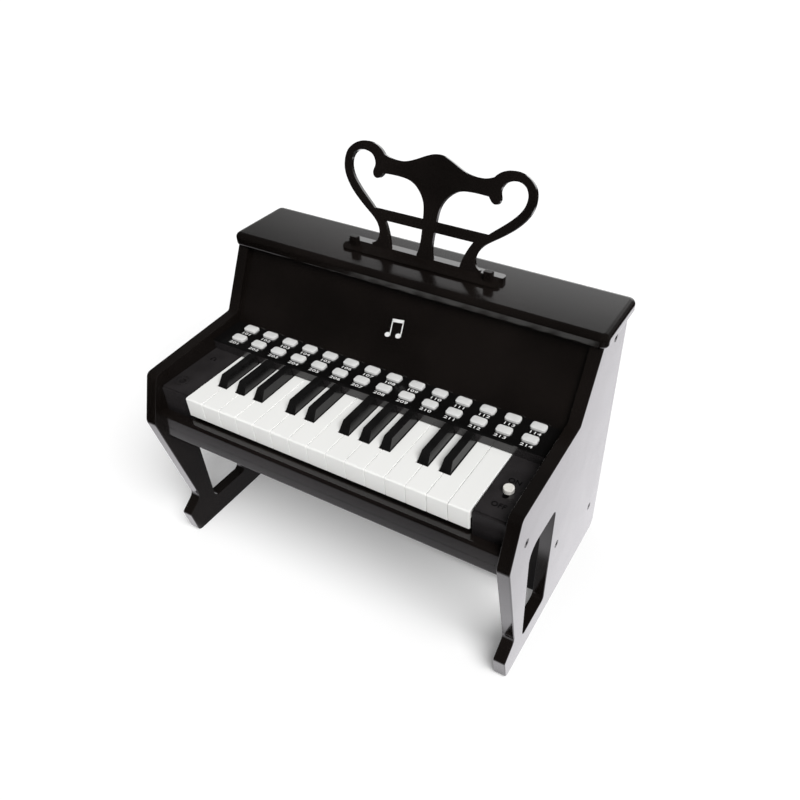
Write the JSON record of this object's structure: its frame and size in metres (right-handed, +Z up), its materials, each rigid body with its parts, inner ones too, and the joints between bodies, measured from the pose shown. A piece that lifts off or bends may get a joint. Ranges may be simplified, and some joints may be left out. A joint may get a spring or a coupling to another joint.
{
  "type": "toy piano",
  "caption": "Small upright toy piano in black lacquer with sprung keys, a button panel, a sliding power switch and a scrolled lift-out music stand on the lid.",
  "frame": {"origin": "on the floor, at the middle of the overall width and depth", "axes": "+X to the player's right along the keys, +Y to the back, +Z up; the keys face -Y"},
  "size_m": [0.396, 0.2376, 0.373],
  "materials": {
    "black_lacquer": "gloss lacquer",
    "white_key_gloss": "gloss",
    "black_key_satin": "satin",
    "moulded_black": "satin",
    "button_grey": "matte",
    "knob_cream": "satin",
    "screw_black": "black oxide",
    "steel": "drawn",
    "contact_rubber": "matte",
    "circuit_board": "solder mask",
    "speaker_black": "satin"
  },
  "bodies": {
    "case": {"left_side_panel": "black_lacquer", "right_side_panel": "black_lacquer", "top_lid": "black_lacquer", "upper_front_panel": "black_lacquer", "back_panel": "black_lacquer", "bottom_board": "black_lacquer", "knee_panel": "black_lacquer", "keybed": "black_lacquer", "key_slip": "black_lacquer", "case_screws": "screw_black", "music_stand_ledge": "black_lacquer", "keyboard_tray": "moulded_black", "keyboard_cover": "moulded_black", "key_pivot_rod": "steel", "key_contact_strip": "contact_rubber", "main_circuit_board": "circuit_board", "speaker": "speaker_black", "battery_box": "moulded_black", "battery_door": "moulded_black"},
    "white_key_01": {"white_key_01": "white_key_gloss"},
    "white_key_02": {"white_key_02": "white_key_gloss"},
    "white_key_03": {"white_key_03": "white_key_gloss"},
    "white_key_04": {"white_key_04": "white_key_gloss"},
    "white_key_05": {"white_key_05": "white_key_gloss"},
    "white_key_06": {"white_key_06": "white_key_gloss"},
    "white_key_07": {"white_key_07": "white_key_gloss"},
    "white_key_08": {"white_key_08": "white_key_gloss"},
    "white_key_09": {"white_key_09": "white_key_gloss"},
    "white_key_10": {"white_key_10": "white_key_gloss"},
    "white_key_11": {"white_key_11": "white_key_gloss"},
    "white_key_12": {"white_key_12": "white_key_gloss"},
    "white_key_13": {"white_key_13": "white_key_gloss"},
    "white_key_14": {"white_key_14": "white_key_gloss"},
    "white_key_15": {"white_key_15": "white_key_gloss"},
    "black_key_01": {"black_key_01": "black_key_satin"},
    "black_key_02": {"black_key_02": "black_key_satin"},
    "black_key_03": {"black_key_03": "black_key_satin"},
    "black_key_04": {"black_key_04": "black_key_satin"},
    "black_key_05": {"black_key_05": "black_key_satin"},
    "black_key_06": {"black_key_06": "black_key_satin"},
    "black_key_07": {"black_key_07": "black_key_satin"},
    "black_key_08": {"black_key_08": "black_key_satin"},
    "black_key_09": {"black_key_09": "black_key_satin"},
    "black_key_10": {"black_key_10": "black_key_satin"},
    "button_pair_01": {"button_pair_01": "button_grey"},
    "button_pair_02": {"button_pair_02": "button_grey"},
    "button_pair_03": {"button_pair_03": "button_grey"},
    "button_pair_04": {"button_pair_04": "button_grey"},
    "button_pair_05": {"button_pair_05": "button_grey"},
    "button_pair_06": {"button_pair_06": "button_grey"},
    "button_pair_07": {"button_pair_07": "button_grey"},
    "button_pair_08": {"button_pair_08": "button_grey"},
    "button_pair_09": {"button_pair_09": "button_grey"},
    "button_pair_10": {"button_pair_10": "button_grey"},
    "button_pair_11": {"button_pair_11": "button_grey"},
    "button_pair_12": {"button_pair_12": "button_grey"},
    "button_pair_13": {"button_pair_13": "button_grey"},
    "button_pair_14": {"button_pair_14": "button_grey"},
    "power_switch_knob": {"power_switch_knob": "knob_cream"},
    "music_stand": {"music_stand": "black_lacquer"}
  },
  "joints": [
    {"name": "power_switch_slide", "type": "slide", "parent": "case", "child": "power_switch_knob", "axis": [0, -1, 0], "range_m": [0, 0.006]},
    {"name": "music_stand_lift", "type": "slide", "parent": "case", "child": "music_stand", "axis": [0, 0.3502, 0.9367], "range_m": [0, 0.016]},
    {"name": "white_key_01_press", "type": "hinge", "parent": "case", "child": "white_key_01", "pos_m": [0, 0.00783, 0.184], "axis": [1, 0, 0], "range_deg": [0, 3.2], "stiffness_Nm_per_rad": 0.5, "springref_deg": -2.86, "deforming": ["key_contact_strip"]},
    {"name": "white_key_02_press", "type": "hinge", "parent": "case", "child": "white_key_02", "pos_m": [0, 0.00783, 0.184], "axis": [1, 0, 0], "range_deg": [0, 3.2], "stiffness_Nm_per_rad": 0.5, "springref_deg": -2.86, "deforming": ["key_contact_strip"]},
    {"name": "white_key_03_press", "type": "hinge", "parent": "case", "child": "white_key_03", "pos_m": [0, 0.00783, 0.184], "axis": [1, 0, 0], "range_deg": [0, 3.2], "stiffness_Nm_per_rad": 0.5, "springref_deg": -2.86, "deforming": ["key_contact_strip"]},
    {"name": "white_key_04_press", "type": "hinge", "parent": "case", "child": "white_key_04", "pos_m": [0, 0.00783, 0.184], "axis": [1, 0, 0], "range_deg": [0, 3.2], "stiffness_Nm_per_rad": 0.5, "springref_deg": -2.86, "deforming": ["key_contact_strip"]},
    {"name": "white_key_05_press", "type": "hinge", "parent": "case", "child": "white_key_05", "pos_m": [0, 0.00783, 0.184], "axis": [1, 0, 0], "range_deg": [0, 3.2], "stiffness_Nm_per_rad": 0.5, "springref_deg": -2.86, "deforming": ["key_contact_strip"]},
    {"name": "white_key_06_press", "type": "hinge", "parent": "case", "child": "white_key_06", "pos_m": [0, 0.00783, 0.184], "axis": [1, 0, 0], "range_deg": [0, 3.2], "stiffness_Nm_per_rad": 0.5, "springref_deg": -2.86, "deforming": ["key_contact_strip"]},
    {"name": "white_key_07_press", "type": "hinge", "parent": "case", "child": "white_key_07", "pos_m": [0, 0.00783, 0.184], "axis": [1, 0, 0], "range_deg": [0, 3.2], "stiffness_Nm_per_rad": 0.5, "springref_deg": -2.86, "deforming": ["key_contact_strip"]},
    {"name": "white_key_08_press", "type": "hinge", "parent": "case", "child": "white_key_08", "pos_m": [0, 0.00783, 0.184], "axis": [1, 0, 0], "range_deg": [0, 3.2], "stiffness_Nm_per_rad": 0.5, "springref_deg": -2.86, "deforming": ["key_contact_strip"]},
    {"name": "white_key_09_press", "type": "hinge", "parent": "case", "child": "white_key_09", "pos_m": [0, 0.00783, 0.184], "axis": [1, 0, 0], "range_deg": [0, 3.2], "stiffness_Nm_per_rad": 0.5, "springref_deg": -2.86, "deforming": ["key_contact_strip"]},
    {"name": "white_key_10_press", "type": "hinge", "parent": "case", "child": "white_key_10", "pos_m": [0, 0.00783, 0.184], "axis": [1, 0, 0], "range_deg": [0, 3.2], "stiffness_Nm_per_rad": 0.5, "springref_deg": -2.86, "deforming": ["key_contact_strip"]},
    {"name": "white_key_11_press", "type": "hinge", "parent": "case", "child": "white_key_11", "pos_m": [0, 0.00783, 0.184], "axis": [1, 0, 0], "range_deg": [0, 3.2], "stiffness_Nm_per_rad": 0.5, "springref_deg": -2.86, "deforming": ["key_contact_strip"]},
    {"name": "white_key_12_press", "type": "hinge", "parent": "case", "child": "white_key_12", "pos_m": [0, 0.00783, 0.184], "axis": [1, 0, 0], "range_deg": [0, 3.2], "stiffness_Nm_per_rad": 0.5, "springref_deg": -2.86, "deforming": ["key_contact_strip"]},
    {"name": "white_key_13_press", "type": "hinge", "parent": "case", "child": "white_key_13", "pos_m": [0, 0.00783, 0.184], "axis": [1, 0, 0], "range_deg": [0, 3.2], "stiffness_Nm_per_rad": 0.5, "springref_deg": -2.86, "deforming": ["key_contact_strip"]},
    {"name": "white_key_14_press", "type": "hinge", "parent": "case", "child": "white_key_14", "pos_m": [0, 0.00783, 0.184], "axis": [1, 0, 0], "range_deg": [0, 3.2], "stiffness_Nm_per_rad": 0.5, "springref_deg": -2.86, "deforming": ["key_contact_strip"]},
    {"name": "white_key_15_press", "type": "hinge", "parent": "case", "child": "white_key_15", "pos_m": [0, 0.00783, 0.184], "axis": [1, 0, 0], "range_deg": [0, 3.2], "stiffness_Nm_per_rad": 0.5, "springref_deg": -2.86, "deforming": ["key_contact_strip"]},
    {"name": "black_key_01_press", "type": "hinge", "parent": "case", "child": "black_key_01", "pos_m": [0, 0.00783, 0.184], "axis": [1, 0, 0], "range_deg": [0, 3.2], "stiffness_Nm_per_rad": 0.5, "springref_deg": -2.86, "deforming": ["key_contact_strip"]},
    {"name": "black_key_02_press", "type": "hinge", "parent": "case", "child": "black_key_02", "pos_m": [0, 0.00783, 0.184], "axis": [1, 0, 0], "range_deg": [0, 3.2], "stiffness_Nm_per_rad": 0.5, "springref_deg": -2.86, "deforming": ["key_contact_strip"]},
    {"name": "black_key_03_press", "type": "hinge", "parent": "case", "child": "black_key_03", "pos_m": [0, 0.00783, 0.184], "axis": [1, 0, 0], "range_deg": [0, 3.2], "stiffness_Nm_per_rad": 0.5, "springref_deg": -2.86, "deforming": ["key_contact_strip"]},
    {"name": "black_key_04_press", "type": "hinge", "parent": "case", "child": "black_key_04", "pos_m": [0, 0.00783, 0.184], "axis": [1, 0, 0], "range_deg": [0, 3.2], "stiffness_Nm_per_rad": 0.5, "springref_deg": -2.86, "deforming": ["key_contact_strip"]},
    {"name": "black_key_05_press", "type": "hinge", "parent": "case", "child": "black_key_05", "pos_m": [0, 0.00783, 0.184], "axis": [1, 0, 0], "range_deg": [0, 3.2], "stiffness_Nm_per_rad": 0.5, "springref_deg": -2.86, "deforming": ["key_contact_strip"]},
    {"name": "black_key_06_press", "type": "hinge", "parent": "case", "child": "black_key_06", "pos_m": [0, 0.00783, 0.184], "axis": [1, 0, 0], "range_deg": [0, 3.2], "stiffness_Nm_per_rad": 0.5, "springref_deg": -2.86, "deforming": ["key_contact_strip"]},
    {"name": "black_key_07_press", "type": "hinge", "parent": "case", "child": "black_key_07", "pos_m": [0, 0.00783, 0.184], "axis": [1, 0, 0], "range_deg": [0, 3.2], "stiffness_Nm_per_rad": 0.5, "springref_deg": -2.86, "deforming": ["key_contact_strip"]},
    {"name": "black_key_08_press", "type": "hinge", "parent": "case", "child": "black_key_08", "pos_m": [0, 0.00783, 0.184], "axis": [1, 0, 0], "range_deg": [0, 3.2], "stiffness_Nm_per_rad": 0.5, "springref_deg": -2.86, "deforming": ["key_contact_strip"]},
    {"name": "black_key_09_press", "type": "hinge", "parent": "case", "child": "black_key_09", "pos_m": [0, 0.00783, 0.184], "axis": [1, 0, 0], "range_deg": [0, 3.2], "stiffness_Nm_per_rad": 0.5, "springref_deg": -2.86, "deforming": ["key_contact_strip"]},
    {"name": "black_key_10_press", "type": "hinge", "parent": "case", "child": "black_key_10", "pos_m": [0, 0.00783, 0.184], "axis": [1, 0, 0], "range_deg": [0, 3.2], "stiffness_Nm_per_rad": 0.5, "springref_deg": -2.86, "deforming": ["key_contact_strip"]},
    {"name": "button_pair_01_push", "type": "slide", "parent": "case", "child": "button_pair_01", "axis": [0, 0, -1], "range_m": [0, 0.0012], "stiffness_N_per_m": 400, "springref_m": -0.002},
    {"name": "button_pair_02_push", "type": "slide", "parent": "case", "child": "button_pair_02", "axis": [0, 0, -1], "range_m": [0, 0.0012], "stiffness_N_per_m": 400, "springref_m": -0.002},
    {"name": "button_pair_03_push", "type": "slide", "parent": "case", "child": "button_pair_03", "axis": [0, 0, -1], "range_m": [0, 0.0012], "stiffness_N_per_m": 400, "springref_m": -0.002},
    {"name": "button_pair_04_push", "type": "slide", "parent": "case", "child": "button_pair_04", "axis": [0, 0, -1], "range_m": [0, 0.0012], "stiffness_N_per_m": 400, "springref_m": -0.002},
    {"name": "button_pair_05_push", "type": "slide", "parent": "case", "child": "button_pair_05", "axis": [0, 0, -1], "range_m": [0, 0.0012], "stiffness_N_per_m": 400, "springref_m": -0.002},
    {"name": "button_pair_06_push", "type": "slide", "parent": "case", "child": "button_pair_06", "axis": [0, 0, -1], "range_m": [0, 0.0012], "stiffness_N_per_m": 400, "springref_m": -0.002},
    {"name": "button_pair_07_push", "type": "slide", "parent": "case", "child": "button_pair_07", "axis": [0, 0, -1], "range_m": [0, 0.0012], "stiffness_N_per_m": 400, "springref_m": -0.002},
    {"name": "button_pair_08_push", "type": "slide", "parent": "case", "child": "button_pair_08", "axis": [0, 0, -1], "range_m": [0, 0.0012], "stiffness_N_per_m": 400, "springref_m": -0.002},
    {"name": "button_pair_09_push", "type": "slide", "parent": "case", "child": "button_pair_09", "axis": [0, 0, -1], "range_m": [0, 0.0012], "stiffness_N_per_m": 400, "springref_m": -0.002},
    {"name": "button_pair_10_push", "type": "slide", "parent": "case", "child": "button_pair_10", "axis": [0, 0, -1], "range_m": [0, 0.0012], "stiffness_N_per_m": 400, "springref_m": -0.002},
    {"name": "button_pair_11_push", "type": "slide", "parent": "case", "child": "button_pair_11", "axis": [0, 0, -1], "range_m": [0, 0.0012], "stiffness_N_per_m": 400, "springref_m": -0.002},
    {"name": "button_pair_12_push", "type": "slide", "parent": "case", "child": "button_pair_12", "axis": [0, 0, -1], "range_m": [0, 0.0012], "stiffness_N_per_m": 400, "springref_m": -0.002},
    {"name": "button_pair_13_push", "type": "slide", "parent": "case", "child": "button_pair_13", "axis": [0, 0, -1], "range_m": [0, 0.0012], "stiffness_N_per_m": 400, "springref_m": -0.002},
    {"name": "button_pair_14_push", "type": "slide", "parent": "case", "child": "button_pair_14", "axis": [0, 0, -1], "range_m": [0, 0.0012], "stiffness_N_per_m": 400, "springref_m": -0.002}
  ]
}
